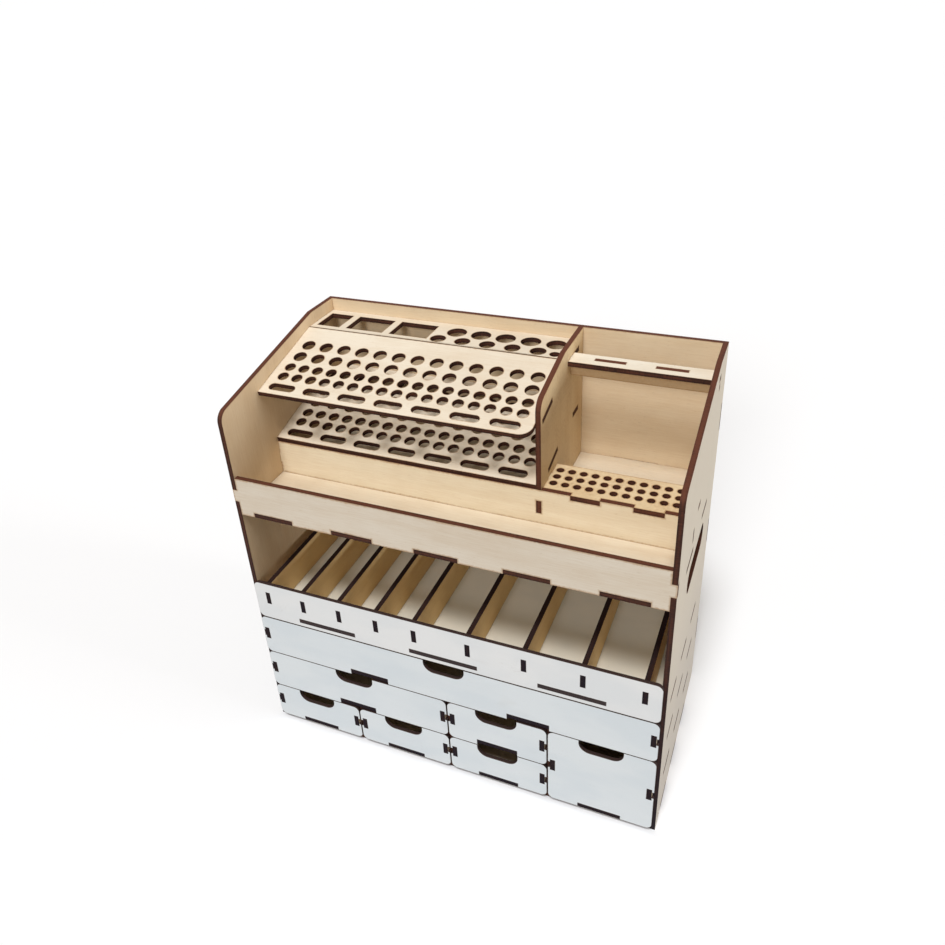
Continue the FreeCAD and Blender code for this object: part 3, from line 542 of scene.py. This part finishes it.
class ORGANISER_OT_tool_tray(bpy.types.Operator):
    """Finish the tool tray: floor, front rail and the riser behind it"""
    bl_idname = "organiser.tool_tray"
    bl_label = "Tool tray"

    def execute(self, context):
        finish = context.scene.organiser_plywood
        finish_board("tray_floor", X, Z, birch_material("tray_birch", finish), finish.rim)
        for node in ("tray_front", "rack_riser"):
            # The riser's tint is painted light: brighter for the full light on it
            finish_board(node, X, -Y, birch_material(f"{node}_birch", finish), WIDE_RIM * finish.rim)
        return {"FINISHED"}


class ORGANISER_OT_tool_rack(bpy.types.Operator):
    """Finish the tilted tool plates, the file strips and the divider beside them"""
    bl_idname = "organiser.tool_rack"
    bl_label = "Tool rack"

    tilt: FloatProperty(name="Tilt", description="Tilt of the tool plates", subtype="ANGLE",
                        default=math.radians(15))

    def execute(self, context):
        finish = context.scene.organiser_plywood
        # Painted light: paler, cooler plates and strips for the full light on them
        material = birch_material("rack_birch", finish)
        upward = Matrix.Rotation(self.tilt, 3, "X") @ Z
        for level in ("lower", "upper"):
            finish_board(f"{level}_tool_plate", X, upward, material, finish.rim)
            finish_board(f"{level}_file_strip", X, Z, material, finish.rim)
        # Partly own golden tone, partly painted shade on the rack divider's face
        smoked = birch_material("smoked_and_shaded_birch", finish, smoke=SMOKE)
        finish_board("rack_divider", Z, X, smoked, finish.rim)
        return {"FINISHED"}


class ORGANISER_OT_pliers_corner(bpy.types.Operator):
    """Finish the bit shelf, the pliers bar and its rib"""
    bl_idname = "organiser.pliers_corner"
    bl_label = "Pliers corner"

    def execute(self, context):
        finish = context.scene.organiser_plywood
        # The bit shelf shares the golden, partly shaded tint of the rack divider
        smoked = birch_material("smoked_and_shaded_birch", finish, smoke=SMOKE)
        finish_board("bit_shelf", X, Z, smoked, finish.rim)
        # Painted shade: the rib is darker and browner for the shade under the bar
        shaded_brown = birch_material("pliers_rib_shaded_birch", finish, smoke=SMOKE)
        finish_board("pliers_bar_rib", X, -Y, shaded_brown, finish.rim)
        # Painted light: the bar is paler for the full light on its top
        clear = birch_material("pliers_bar_lit_birch", finish)
        finish_board("pliers_bar", X, Z, clear, finish.rim)
        return {"FINISHED"}


def studio_floor(studio):
    """A wide plain floor that sends back less light than it shows."""
    bpy.ops.object.select_all(action="DESELECT")
    bpy.ops.mesh.primitive_plane_add(size=60)
    floor = bpy.context.object
    floor.name = "studio_floor"
    material = bpy.data.materials.new("studio_floor")
    material.use_nodes = True
    tree = material.node_tree
    tree.nodes.clear()
    shown = blend(tree, seen_directly(tree), (*studio.floor_bounce, 1), (*studio.floor, 1))
    shader = put(tree, "ShaderNodeBsdfDiffuse", {"Color": shown})
    put(tree, "ShaderNodeOutputMaterial", {"Surface": shader.outputs[0]})
    floor.data.materials.append(material)


def seen_directly(tree):
    """1 for what the camera sees straight, in a reflection or through glass."""
    rays = put(tree, "ShaderNodeLightPath").outputs
    seen = combine(tree, rays["Is Camera Ray"], rays["Is Glossy Ray"], "MAXIMUM")
    return combine(tree, seen, rays["Is Transmission Ray"], "MAXIMUM")


def studio_sky(studio):
    """Even light from all round, which looks white to the camera."""
    world = bpy.data.worlds.new("studio_sky")
    world.use_nodes = True
    tree = world.node_tree
    tree.nodes.clear()
    lit = [studio.sky * channel for channel in studio.sky_tint]
    shown = blend(tree, seen_directly(tree), (*lit, 1), (1, 1, 1, 1))
    sky = put(tree, "ShaderNodeBackground", {"Color": shown, "Strength": 1.0})
    put(tree, "ShaderNodeOutputWorld", {"Surface": sky.outputs[0]})
    bpy.context.scene.world = world


def soft_light(name, strength, azimuth, elevation, softness, tint=UNTINTED):
    """A soft light, its angles in degrees; azimuth 0 is the front and 90 the right."""
    turn, rise = math.radians(azimuth), math.radians(elevation)
    towards = Vector((math.sin(turn) * math.cos(rise), -math.cos(turn) * math.cos(rise), math.sin(rise)))
    lamp = bpy.data.lights.new(name, "SUN")
    lamp.energy = strength
    lamp.angle = math.radians(softness)
    lamp.color = tint
    light = bpy.data.objects.new(name, lamp)
    light.rotation_euler = towards.to_track_quat("Z", "Y").to_euler()
    bpy.context.scene.collection.objects.link(light)


def studio_camera(studio):
    """The camera, in front on the right and above."""
    lens = bpy.data.cameras.new("studio_camera")
    lens.lens = studio.focal_length
    lens.sensor_width = SENSOR_WIDTH
    lens.shift_x, lens.shift_y = CAMERA_SHIFT
    lens.clip_start = 0.01
    camera = bpy.data.objects.new("studio_camera", lens)
    turn = Matrix((CAMERA_RIGHT, CAMERA_UP, CAMERA_BACK)).transposed().to_4x4()
    camera.matrix_world = Matrix.Translation(CAMERA_PLACE) @ turn
    bpy.context.scene.collection.objects.link(camera)
    bpy.context.scene.camera = camera


class ORGANISER_OT_studio(bpy.types.Operator):
    """Set up the floor, the light and the camera"""
    bl_idname = "organiser.studio"
    bl_label = "Studio"

    def execute(self, context):
        studio = context.scene.organiser_studio
        studio_floor(studio)
        studio_sky(studio)
        soft_light("studio_key", studio.key, azimuth=3, elevation=67, softness=14)
        soft_light("studio_front", studio.front, azimuth=0, elevation=28, softness=14)
        soft_light("studio_fill", studio.fill, azimuth=92, elevation=6, softness=12,
                   tint=(0.97, 0.97, 0.95))
        studio_camera(studio)
        context.scene.view_settings.view_transform = "Standard"
        return {"FINISHED"}


PIECE_OPERATORS = (ORGANISER_OT_side_panels, ORGANISER_OT_drawer_case, ORGANISER_OT_drawer_fronts,
                   ORGANISER_OT_drawer_boxes, ORGANISER_OT_bottle_tray, ORGANISER_OT_tool_tray,
                   ORGANISER_OT_tool_rack, ORGANISER_OT_pliers_corner, ORGANISER_OT_studio)


class ORGANISER_PT_pieces(bpy.types.Panel):
    """Lists the finishes and the pieces of the organiser"""
    bl_idname = "ORGANISER_PT_pieces"
    bl_label = "Tool organiser"
    bl_space_type = "VIEW_3D"
    bl_region_type = "UI"
    bl_category = "Organiser"

    def draw(self, context):
        scene = context.scene
        for settings in (scene.organiser_plywood, scene.organiser_white_board, scene.organiser_studio):
            column = self.layout.column(align=True)
            for name in settings.__annotations__:
                column.prop(settings, name)
        for operator in PIECE_OPERATORS:
            self.layout.operator(operator.bl_idname)


CLASSES = (PlywoodFinish, WhiteBoardFinish, Studio, *PIECE_OPERATORS, ORGANISER_PT_pieces)


def register():
    for item in CLASSES:
        bpy.utils.register_class(item)
    bpy.types.Scene.organiser_plywood = PointerProperty(type=PlywoodFinish)
    bpy.types.Scene.organiser_white_board = PointerProperty(type=WhiteBoardFinish)
    bpy.types.Scene.organiser_studio = PointerProperty(type=Studio)


def unregister():
    del bpy.types.Scene.organiser_studio
    del bpy.types.Scene.organiser_white_board
    del bpy.types.Scene.organiser_plywood
    for item in reversed(CLASSES):
        bpy.utils.unregister_class(item)


def main():
    register()
    bpy.ops.organiser.side_panels()
    bpy.ops.organiser.drawer_case()
    bpy.ops.organiser.drawer_fronts()
    bpy.ops.organiser.drawer_boxes()
    bpy.ops.organiser.bottle_tray()
    bpy.ops.organiser.tool_tray()
    bpy.ops.organiser.tool_rack()
    bpy.ops.organiser.pliers_corner()
    bpy.ops.organiser.studio()


if __name__ == "__main__":
    main()
